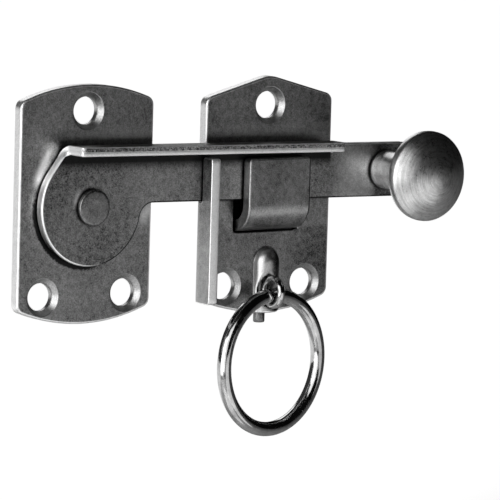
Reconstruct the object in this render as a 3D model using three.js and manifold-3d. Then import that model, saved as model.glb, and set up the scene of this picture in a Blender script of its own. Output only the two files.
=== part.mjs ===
// Flip-over latch for a door or gate: a pivoted arm drops into a keeper that carries a pull ring.
//
// Everything is drawn in door coordinates: x runs along the closed arm, y is up and z comes out
// of the door, with z = 0 on the back faces of both plates and x = y = 0 on the arm's pivot.
// The last lines turn the drawing so that up becomes +Z and the door side becomes +Y.
// All lengths are in millimetres.

import * as THREE from 'three';
import { mergeVertices } from 'three/addons/utils/BufferGeometryUtils.js';
import Module from 'manifold-3d';

// ---------------------------------------------------------------- driving dimensions

const GAP = 0.3;                 // running clearance, and the gap between fitted pieces
const THROUGH = 1;               // how far a cutter runs past the face that it cuts

const PLATE = {
  sheet: 2.8,
  width: 39.8,
  height: 60,
  rise: 4,                       // how far the curved ends bulge above their corners
  cornerRadius: 2.4,
  centreY: 0.4,                  // the pivot sits a little below the middle of its plate
};
const SCREW = {
  holeRadius: 3.5,
  sinkRadius: 4.7,
  sinkDepth: 1.3,
  topY: 23.4,                    // from the plate's middle
  bottomX: 12.4,
  bottomY: -22.8,
};
const RIVET = {
  shankRadius: 2.5,
  tailRadius: 3.6,
  tailDepth: 1.2,
  headRadius: 4.55,
  headHeight: 1.35,
  shoulder: 0.7,                 // width of the rounding at the head's edge
  shoulderDepth: 0.5,
  crown: 0.25,
  crownShare: 0.8,               // how much of the crown is reached half-way in
};
const ARM = {
  sheet: 2.4,
  droop: 0.9,                    // degrees that the closed arm slopes down to the keeper
  discRadius: 14.9,
  leaveAngle: 144,               // where the disc runs off in a straight line to the ledge
  bottom: 0.7,
  top: 14.8,
  end: 99.5,
  endRadius: 2.2,
  fillet: 4,
};
const LEDGE = {
  left: -7.65,
  right: 73.8,
  top: 15.6,
  front: 11.8,
  bendRadius: 2.9,               // outside of the bend
};
const KNOB = {
  x: 91.3,
  y: 7.75,
  tenonRadius: 3,
  neckRadius: 4.95,
  neckEnd: 18.4,
  flare: 2.2,
  rimRadius: 11.65,
  rimBack: 22.1,
  rimFront: 24.6,
  rimEase: 0.25,                 // how far the cap starts inside the rim
  backEase: [[1.1, 0.6], [0.3, 0]],  // in from the rim and back from its back edge
  front: 29.2,
};
const KEEPER = {
  x: 56,
  shoulderY: 25.7,               // where the slopes of the gable start
  slope: 0.272,
  peakRadius: 9,
};
const LIP = {
  outerX: 33.3,
  bendRadius: 6,                 // outside of the bend
  front: 9.9,
  fingerBack: 5.9,
  fingerTop: 11.4,
  bottomY: -25.9,
  cutBelow: 3,                   // how far the cut for the bend runs past the lip's lower end
};
const TAB = {
  left: 46.05,
  right: 65.4,
  front: 8.7,
  top: 10.8,
  bendY: -1.25,
  bendRadius: 7,                 // outside of the bend
  bendAngle: 78,                 // degrees
  rootY: -8.35,
  windowTop: 11.4,
  windowFloor: 0.6,              // the wall that closes the window at the back
};
const BOSS = {
  halfWidth: 3.75,
  height: 2.9,
  topY: -12.9,
  baseZ: 0.5,                    // where the pressed metal starts inside the sheet
  holeX: 55.5,
  holeHalfWidth: 2.8,
  holeHalfHeight: 4.1,
  holeBack: 1.6,
};
const PIN = {
  x: 55.2,
  z: 1.6,
  radius: 1.5,
  bottom: -32.3,
  top: -16.2,
  crossHoleRadius: 1.05,
};
const EYE = {
  y: -23.85,
  z: 7.6,
  radius: 3.375,                 // to the middle of the wire
  halfThick: 0.625,
  halfWide: 0.9,
  tailRadius: 0.75,
  tailEnd: 0.3,
};
const RING = {
  radius: 17.3,                  // to the middle of the wire
  wireRadius: 1.85,
  turn: 10,                      // degrees that the hanging ring is turned in its eye
  sink: 0.8,                     // how far its wire hangs below the middle of the eye
};

const PLATE_FRONT = PLATE.sheet;
const ARM_BACK = PLATE_FRONT + GAP;
const ARM_FRONT = ARM_BACK + ARM.sheet;
const HALF_WIDTH = PLATE.width / 2;
const DEGREE = Math.PI / 180;

// How many straight pieces stand for each curve.
const SEGMENTS = {
  hole: 36,
  corner: 5,
  plateEnd: 14,
  gablePeak: 6,
  lipInner: 6,
  lipOuter: 8,
  tabInner: 7,
  tabOuter: 9,
  boss: 24,
  bossRise: 12,
  channel: 12,
  eyeHole: 28,
  armFillet: 5,
  armDisc: 44,
  ledgeInner: 3,
  ledgeOuter: 6,
  knob: 48,
  knobFlare: 4,
  knobCap: 8,
  pin: 20,
  smallHole: 16,
  eyeWire: 10,
  eye: 36,
  ringWire: 12,
  ring: 60,
};
const KNOB_FLARE_END = 125;      // degrees, where the neck's flare meets the knob's back
const WELD = 1e-4;               // corners closer than this are one corner

const FINISH = {
  plate: { color: 0x5a5c5e, roughness: 0.45, metalness: 1 },
  rivet: { color: 0x66686a, roughness: 0.4, metalness: 1 },
  arm: { color: 0x606264, roughness: 0.45, metalness: 1 },
  knob: { color: 0x8a8c8e, roughness: 0.35, metalness: 1 },
  pin: { color: 0x707274, roughness: 0.4, metalness: 1 },
  eye: { color: 0xa0a2a4, roughness: 0.25, metalness: 1 },
  ring: { color: 0xb4b6b8, roughness: 0.15, metalness: 1 },
};

// ---------------------------------------------------------------- solids

const wasm = await Module();
wasm.setup();

function solid(geometry) {
  const bare = geometry.index ? geometry.toNonIndexed() : geometry.clone();
  bare.deleteAttribute('normal');
  bare.deleteAttribute('uv');
  const merged = mergeVertices(bare, WELD);
  return new wasm.Manifold(new wasm.Mesh({
    numProp: 3,
    vertProperties: new Float32Array(merged.attributes.position.array),
    triVerts: new Uint32Array(merged.index.array),
  }));
}

function finish(manifold) {
  const mesh = manifold.getMesh();
  const geometry = new THREE.BufferGeometry();
  geometry.setAttribute('position', new THREE.BufferAttribute(mesh.vertProperties, 3));
  geometry.setIndex(new THREE.BufferAttribute(mesh.triVerts, 1));
  geometry.computeVertexNormals();
  return geometry;
}

function cutAll(body, cutters) {
  return cutters.reduce((rest, cutter) => rest.subtract(cutter), body);
}

// A flat outline in x and y, thickened from z = back to z = front.
function slab(outline, back, front) {
  const geometry = new THREE.ExtrudeGeometry(new THREE.Shape(outline), {
    depth: front - back,
    bevelEnabled: false,
  });
  return solid(geometry.translate(0, 0, back));
}

// A section drawn as points (z, y) and run along x from left to right.
function bar(section, left, right) {
  const points = section.map(([z, y]) => new THREE.Vector2(-z, y));
  const geometry = new THREE.ExtrudeGeometry(new THREE.Shape(points), {
    depth: right - left,
    bevelEnabled: false,
  });
  geometry.rotateY(Math.PI / 2);
  return solid(geometry.translate(left, 0, 0));
}

// A section drawn as points (x, z) and run up along y from bottom to top.
function post(section, bottom, top) {
  const points = section.map(([x, z]) => new THREE.Vector2(x, -z));
  const geometry = new THREE.ExtrudeGeometry(new THREE.Shape(points), {
    depth: top - bottom,
    bevelEnabled: false,
  });
  geometry.rotateX(-Math.PI / 2);
  return solid(geometry.translate(0, bottom, 0));
}

// A profile of points (radius, z) turned about the line through x and y that runs out of the door.
function turned(profile, segments, x = 0, y = 0) {
  const points = profile.map(([radius, z]) => new THREE.Vector2(radius, z));
  const geometry = new THREE.LatheGeometry(points, segments);
  geometry.rotateX(Math.PI / 2);
  return solid(geometry.translate(x, y, 0));
}

function box(x0, x1, y0, y1, z0, z1) {
  const geometry = new THREE.BoxGeometry(x1 - x0, y1 - y0, z1 - z0);
  return solid(geometry.translate((x0 + x1) / 2, (y0 + y1) / 2, (z0 + z1) / 2));
}

function arc(x, y, radius, fromDegrees, toDegrees, steps) {
  return Array.from({ length: steps + 1 }, (_, i) => {
    const angle = (fromDegrees + (toDegrees - fromDegrees) * i / steps) * DEGREE;
    return [x + radius * Math.cos(angle), y + radius * Math.sin(angle)];
  });
}

// A closed ellipse as points about its middle.
function ellipse(x, y, halfWidth, halfHeight, steps) {
  return arc(0, 0, 1, 0, 360, steps).slice(0, -1)
    .map(([px, py]) => [x + halfWidth * px, y + halfHeight * py]);
}

const vectors = (points) => points.map(([x, y]) => new THREE.Vector2(x, y));

// ---------------------------------------------------------------- plates

// The curved end of a plate, from its right edge to its left.
function curvedEnd() {
  const half = HALF_WIDTH;
  const corner = PLATE.cornerRadius;
  const radius = (half * half + PLATE.rise * PLATE.rise) / (2 * PLATE.rise);
  const centreY = PLATE.height / 2 - radius;
  const cornerY = centreY + Math.sqrt((radius - corner) ** 2 - (half - corner) ** 2);
  const turn = Math.atan2(cornerY - centreY, half - corner) / DEGREE;
  return [
    ...arc(half - corner, cornerY, corner, 0, turn, SEGMENTS.corner),
    ...arc(0, centreY, radius, turn, 180 - turn, SEGMENTS.plateEnd).slice(1, -1),
    ...arc(corner - half, cornerY, corner, 180 - turn, 180, SEGMENTS.corner),
  ];
}

// The keeper's upper end: two slopes that meet in a rounded peak.
function gableEnd() {
  const half = HALF_WIDTH;
  const corner = PLATE.cornerRadius;
  const steep = Math.atan(KEEPER.slope) / DEGREE;
  const peakY = KEEPER.shoulderY + half * KEEPER.slope;
  const lean = Math.hypot(1, KEEPER.slope);
  const cornerY = KEEPER.shoulderY + corner * KEEPER.slope - corner * lean;
  const peakCentre = peakY - KEEPER.peakRadius * lean;
  return [
    ...arc(half - corner, cornerY, corner, 0, 90 - steep, SEGMENTS.corner),
    ...arc(0, peakCentre, KEEPER.peakRadius, 90 - steep, 90 + steep, SEGMENTS.gablePeak),
    ...arc(corner - half, cornerY, corner, 90 + steep, 180, SEGMENTS.corner),
  ];
}

function plateBlank(x, topEnd) {
  const bottomEnd = curvedEnd().map(([px, py]) => [-px, -py]);
  const outline = [...topEnd, ...bottomEnd].map(([px, py]) => [px + x, py + PLATE.centreY]);
  return slab(vectors(outline), 0, PLATE_FRONT);
}

function screwHole(x, y) {
  const profile = [
    [0, -THROUGH],
    [SCREW.holeRadius, -THROUGH],
    [SCREW.holeRadius, PLATE_FRONT - SCREW.sinkDepth],
    [SCREW.sinkRadius, PLATE_FRONT],
    [SCREW.sinkRadius, PLATE_FRONT + THROUGH],
    [0, PLATE_FRONT + THROUGH],
  ];
  return turned(profile, SEGMENTS.hole, x, y);
}

function screwHoles(x) {
  return [
    screwHole(x, PLATE.centreY + SCREW.topY),
    screwHole(x - SCREW.bottomX, PLATE.centreY + SCREW.bottomY),
    screwHole(x + SCREW.bottomX, PLATE.centreY + SCREW.bottomY),
  ];
}

function rivetHole() {
  const radius = RIVET.shankRadius + GAP;
  const tailRadius = RIVET.tailRadius + GAP;
  return turned([
    [0, -THROUGH],
    [tailRadius, -THROUGH],
    [tailRadius, 0],
    [radius, RIVET.tailDepth],
    [radius, ARM_FRONT + THROUGH],
    [0, ARM_FRONT + THROUGH],
  ], SEGMENTS.hole);
}

function pivotPlate() {
  return cutAll(plateBlank(0, curvedEnd()), [...screwHoles(0), rivetHole()]);
}

// ---------------------------------------------------------------- keeper

// The left edge of the keeper is bent forward; above the arm only a finger of it is left.
function keeperLip() {
  const outer = LIP.bendRadius;
  const inner = outer - PLATE.sheet;
  const bendX = LIP.outerX + outer;
  const section = [
    [bendX, PLATE.sheet],
    ...arc(bendX, outer, inner, 270, 180, SEGMENTS.lipInner),
    [LIP.outerX + PLATE.sheet, LIP.front],
    [LIP.outerX, LIP.front],
    ...arc(bendX, outer, outer, 180, 270, SEGMENTS.lipOuter),
  ];
  const notchBottom = ARM.bottom - Math.tan(ARM.droop * DEGREE) * LIP.outerX - GAP;
  const skirt = post(section, LIP.bottomY, notchBottom);
  const innerX = LIP.outerX + PLATE.sheet;
  const bottom = notchBottom - THROUGH;
  const finger = box(LIP.outerX, innerX, bottom, LIP.fingerTop, LIP.fingerBack, LIP.front);
  const cutX = LIP.outerX - THROUGH;
  const cutY = LIP.bottomY - LIP.cutBelow;
  const clearance = box(cutX, bendX, cutY, notchBottom, -THROUGH, PLATE_FRONT + THROUGH);
  return { skirt, finger, clearance, bendX };
}

// The hook curves out of its window at the bottom, then rises in front of the arm.
function hookTab() {
  const inner = TAB.bendRadius - PLATE.sheet;
  const centreZ = TAB.front - TAB.bendRadius;
  const lean = TAB.bendAngle * DEGREE;
  const turnTo = -TAB.bendAngle;
  const reach = (radius) => {
    const z = centreZ + radius * Math.cos(lean);
    const y = TAB.bendY - radius * Math.sin(lean);
    return y - z / Math.tan(lean);
  };
  const outerFoot = reach(TAB.bendRadius) + PLATE_FRONT / Math.tan(lean);
  const section = [
    [0, TAB.rootY - THROUGH],
    [PLATE_FRONT, TAB.rootY - THROUGH],
    [PLATE_FRONT, outerFoot],
    ...arc(centreZ, TAB.bendY, TAB.bendRadius, turnTo, 0, SEGMENTS.tabOuter),
    [TAB.front, TAB.top],
    [TAB.front - PLATE.sheet, TAB.top],
    ...arc(centreZ, TAB.bendY, inner, 0, turnTo, SEGMENTS.tabInner),
    [0, reach(inner)],
  ];
  return bar(section, TAB.left, TAB.right);
}

// A thin wall is left at the back of the window.
function hookWindow() {
  const left = TAB.left - GAP;
  const right = TAB.right + GAP;
  return box(left, right, TAB.rootY, TAB.windowTop, TAB.windowFloor, PLATE_FRONT + THROUGH);
}

// A half-round boss is pressed out over the ring's pin and runs off the plate's lower edge.
function pressedBoss() {
  const domeY = BOSS.topY - BOSS.halfWidth;
  const section = ellipse(KEEPER.x, PLATE_FRONT, BOSS.halfWidth, BOSS.height, SEGMENTS.boss);
  const ridge = post(section, -PLATE.height / 2, domeY);
  const cap = new THREE.SphereGeometry(1, SEGMENTS.boss, SEGMENTS.bossRise);
  cap.scale(BOSS.halfWidth, BOSS.halfWidth, BOSS.height);
  const dome = solid(cap.translate(KEEPER.x, domeY, PLATE_FRONT));
  const bottomEnd = curvedEnd().map(([px, py]) => [-px + KEEPER.x, -py + PLATE.centreY]);
  const outline = [[KEEPER.x + HALF_WIDTH, 0], [KEEPER.x - HALF_WIDTH, 0], ...bottomEnd];
  const trim = slab(vectors(outline), BOSS.baseZ, PLATE_FRONT + BOSS.height + THROUGH);
  return ridge.add(dome).intersect(trim);
}

function pinChannel() {
  const radius = PIN.radius + GAP;
  const section = [
    [PIN.x + radius, -THROUGH],
    ...arc(PIN.x, PIN.z, radius, 0, 180, SEGMENTS.channel),
    [PIN.x - radius, -THROUGH],
  ];
  return post(section, -PLATE.height / 2 - THROUGH, PIN.top + GAP);
}

function eyeHole() {
  const halfWidth = BOSS.holeHalfWidth;
  const outline = ellipse(BOSS.holeX, EYE.y, halfWidth, BOSS.holeHalfHeight, SEGMENTS.eyeHole);
  return slab(vectors(outline), BOSS.holeBack, PLATE_FRONT + BOSS.height + THROUGH);
}

function keeperPlate() {
  const blank = plateBlank(KEEPER.x, gableEnd());
  const lip = keeperLip();
  const plate = cutAll(blank, [lip.clearance, hookWindow(), ...screwHoles(KEEPER.x)]);
  const foot = box(lip.bendX - GAP, lip.bendX + GAP, LIP.bottomY, -THROUGH, 0, PLATE_FRONT);
  const formed = plate.add(lip.skirt).add(foot).add(lip.finger).add(hookTab()).add(pressedBoss());
  return cutAll(formed, [pinChannel(), eyeHole()]);
}

// ---------------------------------------------------------------- arm, knob and rivet

function armOutline() {
  const disc = ARM.discRadius;
  const filletX = Math.sqrt((disc + ARM.fillet) ** 2 - (ARM.bottom - ARM.fillet) ** 2);
  const filletY = ARM.bottom - ARM.fillet;
  const meet = Math.atan2(filletY, filletX) / DEGREE;
  const leave = ARM.leaveAngle * DEGREE;
  const startX = disc * Math.cos(leave);
  const startY = disc * Math.sin(leave);
  const run = (ARM.top - startY) / -Math.cos(leave);
  const corner = ARM.endRadius;
  return vectors([
    ...arc(filletX, filletY, ARM.fillet, 90, 180 + meet, SEGMENTS.armFillet),
    ...arc(0, 0, disc, meet + 360, ARM.leaveAngle, SEGMENTS.armDisc).slice(1),
    [startX + run * Math.sin(leave), ARM.top],
    ...arc(ARM.end - corner, ARM.top - corner, corner, 90, 0, SEGMENTS.corner),
    ...arc(ARM.end - corner, ARM.bottom + corner, corner, 0, -90, SEGMENTS.corner),
  ]);
}

// The ledge is the arm's top edge bent forward at a right angle.
function armLedge() {
  const outer = LEDGE.bendRadius;
  const inner = outer - ARM.sheet;
  const centreY = LEDGE.top - outer;
  const centreZ = ARM_BACK + outer;
  const section = [
    [ARM_BACK, centreY - ARM.sheet],
    [ARM_FRONT, centreY - ARM.sheet],
    ...arc(centreZ, centreY, inner, 180, 90, SEGMENTS.ledgeInner),
    [LEDGE.front, LEDGE.top - ARM.sheet],
    [LEDGE.front, LEDGE.top],
    ...arc(centreZ, centreY, outer, 90, 180, SEGMENTS.ledgeOuter),
  ];
  return bar(section, LEDGE.left, LEDGE.right);
}

function latchArm() {
  const tenonHole = turned([
    [0, ARM_BACK - THROUGH],
    [KNOB.tenonRadius + GAP, ARM_BACK - THROUGH],
    [KNOB.tenonRadius + GAP, ARM_FRONT + THROUGH],
    [0, ARM_FRONT + THROUGH],
  ], SEGMENTS.hole, KNOB.x, KNOB.y);
  const blank = slab(armOutline(), ARM_BACK, ARM_FRONT);
  const bendRoom = box(
    LEDGE.left, LEDGE.right, LEDGE.top - LEDGE.bendRadius, LEDGE.top + THROUGH,
    ARM_BACK - THROUGH, ARM_FRONT + THROUGH,
  );
  return cutAll(blank.subtract(bendRoom).add(armLedge()), [rivetHole(), tenonHole]);
}

function knob() {
  const rim = KNOB.rimRadius;
  const capDepth = KNOB.front - KNOB.rimFront;
  const capEdge = rim - KNOB.rimEase;
  const capRadius = (capEdge * capEdge + capDepth * capDepth) / (2 * capDepth);
  const capAngle = Math.asin(capEdge / capRadius) / DEGREE;
  const flareX = KNOB.neckRadius + KNOB.flare;
  return turned([
    [0, ARM_BACK],
    [KNOB.tenonRadius, ARM_BACK],
    [KNOB.tenonRadius, ARM_FRONT + GAP],
    [KNOB.neckRadius, ARM_FRONT + GAP],
    ...arc(flareX, KNOB.neckEnd, KNOB.flare, 180, KNOB_FLARE_END, SEGMENTS.knobFlare),
    ...KNOB.backEase.map(([inset, back]) => [rim - inset, KNOB.rimBack - back]),
    [rim, (KNOB.rimBack + KNOB.rimFront) / 2],
    ...arc(0, KNOB.front - capRadius, capRadius, 90 - capAngle, 90, SEGMENTS.knobCap),
  ], SEGMENTS.knob, KNOB.x, KNOB.y);
}

function pivotRivet() {
  const underHead = ARM_FRONT + GAP;
  const shoulder = underHead + RIVET.headHeight - RIVET.crown;
  const crownRadius = RIVET.headRadius - RIVET.shoulder;
  return turned([
    [0, 0],
    [RIVET.tailRadius, 0],
    [RIVET.shankRadius, RIVET.tailDepth],
    [RIVET.shankRadius, underHead],
    [RIVET.headRadius, underHead],
    [RIVET.headRadius, shoulder - RIVET.shoulderDepth],
    [crownRadius, shoulder],
    [crownRadius / 2, shoulder + RIVET.crown * RIVET.crownShare],
    [0, shoulder + RIVET.crown],
  ], SEGMENTS.hole);
}

// ---------------------------------------------------------------- ring

function ringPin() {
  const section = arc(PIN.x, PIN.z, PIN.radius, 0, 360, SEGMENTS.pin).slice(0, -1);
  const crossHole = turned([
    [0, -THROUGH],
    [PIN.crossHoleRadius, -THROUGH],
    [PIN.crossHoleRadius, PIN.z + PIN.radius + THROUGH],
    [0, PIN.z + PIN.radius + THROUGH],
  ], SEGMENTS.smallHole, PIN.x, EYE.y);
  return post(section, PIN.bottom, PIN.top).subtract(crossHole);
}

// The eye stands edge-on to the door and its tail goes through the pin.
function ringEye() {
  const section = arc(0, 0, 1, 0, 360, SEGMENTS.eyeWire)
    .map(([px, py]) => [EYE.radius + EYE.halfThick * px, EYE.halfWide * py]);
  const loop = new THREE.LatheGeometry(vectors(section), SEGMENTS.eye);
  loop.rotateZ(Math.PI / 2);
  const tailStart = EYE.z - EYE.radius;
  const tail = turned([
    [0, EYE.tailEnd],
    [EYE.tailRadius, EYE.tailEnd],
    [EYE.tailRadius, tailStart],
    [0, tailStart],
  ], SEGMENTS.smallHole, PIN.x, EYE.y);
  return solid(loop.translate(PIN.x, EYE.y, EYE.z)).add(tail);
}

function pullRing() {
  const { radius, wireRadius } = RING;
  return solid(new THREE.TorusGeometry(radius, wireRadius, SEGMENTS.ringWire, SEGMENTS.ring));
}

// ---------------------------------------------------------------- assembly

function piece(name, manifold, steel) {
  const mesh = new THREE.Mesh(finish(manifold), new THREE.MeshStandardMaterial(steel));
  mesh.name = name;
  return mesh;
}

const latch = new THREE.Group();
latch.rotation.x = Math.PI / 2;

latch.add(piece('pivot_plate', pivotPlate(), FINISH.plate));
latch.add(piece('pivot_rivet', pivotRivet(), FINISH.rivet));
latch.add(piece('keeper_plate', keeperPlate(), FINISH.plate));

const swingingArm = new THREE.Group();
swingingArm.rotation.z = -ARM.droop * DEGREE;
swingingArm.add(piece('latch_arm', latchArm(), FINISH.arm));
swingingArm.add(piece('knob', knob(), FINISH.knob));
latch.add(swingingArm);

latch.add(piece('ring_pin', ringPin(), FINISH.pin));
latch.add(piece('ring_eye', ringEye(), FINISH.eye));

const hanging = piece('pull_ring', pullRing(), FINISH.ring);
hanging.position.set(PIN.x, EYE.y - RING.sink - RING.radius, EYE.z);
hanging.rotation.y = RING.turn * DEGREE;
latch.add(hanging);

export default latch;
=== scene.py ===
"""Looks of a flip-over latch: a pivoted steel arm that drops into a keeper with a pull ring.

Shapes are drawn in millimetres in door coordinates: x runs along the closed arm, y is up and z
comes out of the door. to_row() turns them into the row frame (metres, +Z up, door at +Y).
"""

import math

import bmesh
import bpy
import numpy as np
from mathutils import Matrix, Vector
from mathutils.geometry import delaunay_2d_cdt

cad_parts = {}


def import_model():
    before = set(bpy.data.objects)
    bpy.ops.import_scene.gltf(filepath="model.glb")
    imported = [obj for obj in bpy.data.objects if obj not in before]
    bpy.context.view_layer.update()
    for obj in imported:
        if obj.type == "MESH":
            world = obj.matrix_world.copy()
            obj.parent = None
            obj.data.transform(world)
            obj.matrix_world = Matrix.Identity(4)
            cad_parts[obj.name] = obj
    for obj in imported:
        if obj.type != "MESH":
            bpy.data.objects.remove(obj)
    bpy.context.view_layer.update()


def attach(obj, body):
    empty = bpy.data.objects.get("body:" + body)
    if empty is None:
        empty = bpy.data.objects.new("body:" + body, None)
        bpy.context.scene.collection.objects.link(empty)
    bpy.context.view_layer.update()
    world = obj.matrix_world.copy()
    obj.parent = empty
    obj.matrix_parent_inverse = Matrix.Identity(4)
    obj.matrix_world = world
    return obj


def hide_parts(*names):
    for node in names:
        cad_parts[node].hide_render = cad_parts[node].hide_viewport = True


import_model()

# -------- driving dimensions (mm)

MM = 0.001
GAP = 0.3

SHEET = 2.8
PLATE_WIDTH = 39.8
PLATE_HEIGHT = 60.0
PLATE_RISE = 4.0
PLATE_CORNER = 2.4
PLATE_CENTRE_Y = 0.4
HALF_WIDTH = PLATE_WIDTH / 2

SCREW_RADIUS = 3.5
SINK_RADIUS = 4.7
SINK_DEPTH = 1.3
SCREW_TOP_Y = 23.4
SCREW_BOTTOM_X = 12.4
SCREW_BOTTOM_Y = -22.8

RIVET_SHANK = 2.5
RIVET_TAIL = 3.6
RIVET_TAIL_DEPTH = 1.2
RIVET_HEAD = 4.55
RIVET_HEIGHT = 1.35

ARM_SHEET = 2.4
ARM_BACK = SHEET + GAP
ARM_FRONT = ARM_BACK + ARM_SHEET
ARM_DROOP = math.radians(0.9)
DISC_RADIUS = 14.9
DISC_LEAVE = 144
ARM_BOTTOM = 0.7
ARM_TOP = 14.8
ARM_END = 99.5
ARM_END_RADIUS = 2.2
ARM_FILLET = 4.0

LEDGE_LEFT = -7.65
LEDGE_RIGHT = 73.8
LEDGE_TOP = 15.6
LEDGE_FRONT = 11.8
LEDGE_BEND = 2.9

KNOB_X = 91.3
KNOB_Y = 7.75
KNOB_TENON = 3.0
KNOB_NECK = 4.95
KNOB_NECK_END = 18.4
KNOB_FLARE = 2.2
KNOB_RIM = 11.65
KNOB_RIM_BACK = 22.1
KNOB_RIM_FRONT = 24.6
KNOB_FRONT = 29.2
KNOB_RIDGE = 0.006  # depth of the lathe's marks on the knob's face

KEEPER_X = 56.0
GABLE_SHOULDER = 25.7
GABLE_SLOPE = 0.272
GABLE_PEAK_RADIUS = 9.0

LIP_OUTER_X = 33.3
LIP_BEND = 6.0
LIP_FRONT = 9.9
FINGER_BACK = 5.9
FINGER_TOP = 11.4
LIP_BOTTOM = -25.9

TAB_LEFT = 46.05
TAB_RIGHT = 65.4
TAB_FRONT = 8.7
TAB_TOP = 10.8
TAB_BEND_Y = -1.25
TAB_BEND = 7.0
TAB_FOOT_BEND = 2.95
TAB_LEAN = math.radians(78)
TAB_ROOT = -8.35
WINDOW_TOP = 11.4
WINDOW_FLOOR = 0.6

BOSS_HALF_WIDTH = 3.75
BOSS_HEIGHT = 2.9
BOSS_TOP = -12.9
BOSS_HOLE_X = 55.5
BOSS_HOLE_HALF = (2.8, 4.1)
BOSS_HOLE_FLOOR = 1.6

PIN_X = 55.2
PIN_Z = 1.6
PIN_RADIUS = 1.5
PIN_BOTTOM = -32.3
PIN_TOP = -16.2

EYE_Y = -23.85
EYE_Z = 7.6
EYE_RADIUS = 3.48
EYE_HALF_THICK = 0.75
EYE_HALF_WIDE = 1.05
EYE_TAIL = 0.75

RING_RADIUS = 17.3
RING_WIRE = 1.85
RING_TURN = math.radians(10)
RING_SINK = 0.8

# how a blanked edge looks: rounded over at the front, a smooth band, then a rough torn band
FINE = 0.35  # spacing of the points along an outline
TEAR_SHARE = 0.55  # share of the sheet's thickness that tore
TEAR_DEPTH = 0.05
TEAR_MARGIN = 0.12  # between the torn band and the smooth one
TEAR_ROWS = 5
BACK_ROUNDING = 0.2
BACK_MARGIN = 0.12
FRONT_MARGIN = 0.08
BACK_STEPS = 3
ROUND_STEPS = 5
PLATE_ROUNDING = 0.5
ARM_ROUNDING = 0.35
SINK_RINGS = 9
SINK_RIDGE = 0.018
SINK_SHINE = 0.25  # the edge mark of the screw holes, where 1 is an outer edge worn bright with its highlight painted in
SLIT_SHINE = 0.15
# painted shade on the front of the thin wall that closes the hook's window
WINDOW_DARK = -1.4
BORE_CLEARANCE = 0.04
SLIVER = 2e-4  # triangles smaller than this (mm2) lie along a straight edge
SKIN = 0.01  # a point this near to a sheet's face lies on it
ROUND_ANGLES = np.radians([20, 40, 60, 80])

# spacing of the points inside a sheet: wide where it is flat, narrow where it bends or is marked
WIDE_GRID = 1.2
BEND_GRID = 0.9
FINE_GRID = 0.4


# -------- outlines

def ramp(value, zero_at, one_at):
    """0 up to zero_at, 1 from one_at on and straight in between."""
    return np.clip((value - zero_at) / (one_at - zero_at), 0, 1)


def arc(x, y, radius, start, end, spacing=FINE):
    """Points on an arc, from the start angle to the end angle in degrees."""
    steps = max(2, round(abs(math.radians(end - start)) * radius / spacing))
    angles = [math.radians(start + (end - start) * i / steps) for i in range(steps + 1)]
    return [(x + radius * math.cos(a), y + radius * math.sin(a)) for a in angles]


def divided(points, spacing=FINE * 2):
    """The closed outline through the points, with long straight stretches divided up."""
    result = []
    for (ax, ay), (bx, by) in zip(points, points[1:] + points[:1]):
        steps = max(1, math.ceil(math.hypot(bx - ax, by - ay) / spacing))
        result += [(ax + (bx - ax) * i / steps, ay + (by - ay) * i / steps) for i in range(steps)]
    return result


def rounded(corners):
    """A closed outline through corners (x, y, radius), each one rounded by its radius."""
    result = []
    count = len(corners)
    for i, (x, y, radius) in enumerate(corners):
        here = Vector((x, y))
        to_last = (Vector(corners[i - 1][:2]) - here).normalized()
        to_next = (Vector(corners[(i + 1) % count][:2]) - here).normalized()
        half = to_last.angle(to_next) / 2
        if radius == 0 or half > math.radians(89.9):
            result.append((x, y))
            continue
        reach = radius / math.tan(half)
        centre = here + (to_last + to_next).normalized() * (radius / math.sin(half))
        first = here + to_last * reach - centre
        turn = math.copysign(math.pi - 2 * half, first.cross(here - centre))
        steps = max(3, round(abs(turn) * radius / FINE))
        for k in range(steps + 1):
            a = turn * k / steps
            result.append((centre.x + first.x * math.cos(a) - first.y * math.sin(a),
                           centre.y + first.x * math.sin(a) + first.y * math.cos(a)))
    return result


def curved_end():
    """The bulging end of a plate, from its right edge to its left, about the plate's middle."""
    half, corner = HALF_WIDTH, PLATE_CORNER
    radius = (half ** 2 + PLATE_RISE ** 2) / (2 * PLATE_RISE)
    centre_y = PLATE_HEIGHT / 2 - radius
    corner_y = centre_y + math.sqrt((radius - corner) ** 2 - (half - corner) ** 2)
    turn = math.degrees(math.atan2(corner_y - centre_y, half - corner))
    return [
        *arc(half - corner, corner_y, corner, 0, turn),
        *arc(0, centre_y, radius, turn, 180 - turn, FINE * 2)[1:-1],
        *arc(corner - half, corner_y, corner, 180 - turn, 180),
    ]


def gable_end():
    """The keeper's upper end: two slopes that meet in a rounded peak."""
    half, corner = HALF_WIDTH, PLATE_CORNER
    steep = math.degrees(math.atan(GABLE_SLOPE))
    lean = math.hypot(1, GABLE_SLOPE)
    peak_y = GABLE_SHOULDER + half * GABLE_SLOPE
    corner_y = GABLE_SHOULDER + corner * (GABLE_SLOPE - lean)
    return [
        *arc(half - corner, corner_y, corner, 0, 90 - steep),
        *arc(0, peak_y - GABLE_PEAK_RADIUS * lean, GABLE_PEAK_RADIUS, 90 - steep, 90 + steep),
        *arc(corner - half, corner_y, corner, 90 + steep, 180),
    ]


def moved(points, x, y, way=1):
    """Points moved by (x, y), after half a turn where way is -1."""
    return [(way * px + x, way * py + y) for px, py in points]


def hole(x, y, radius):
    """A round hole's outline, run clockwise so that the metal is on its left."""
    return arc(x, y, radius, 360, 0)[:-1]


# -------- edge profiles

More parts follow.
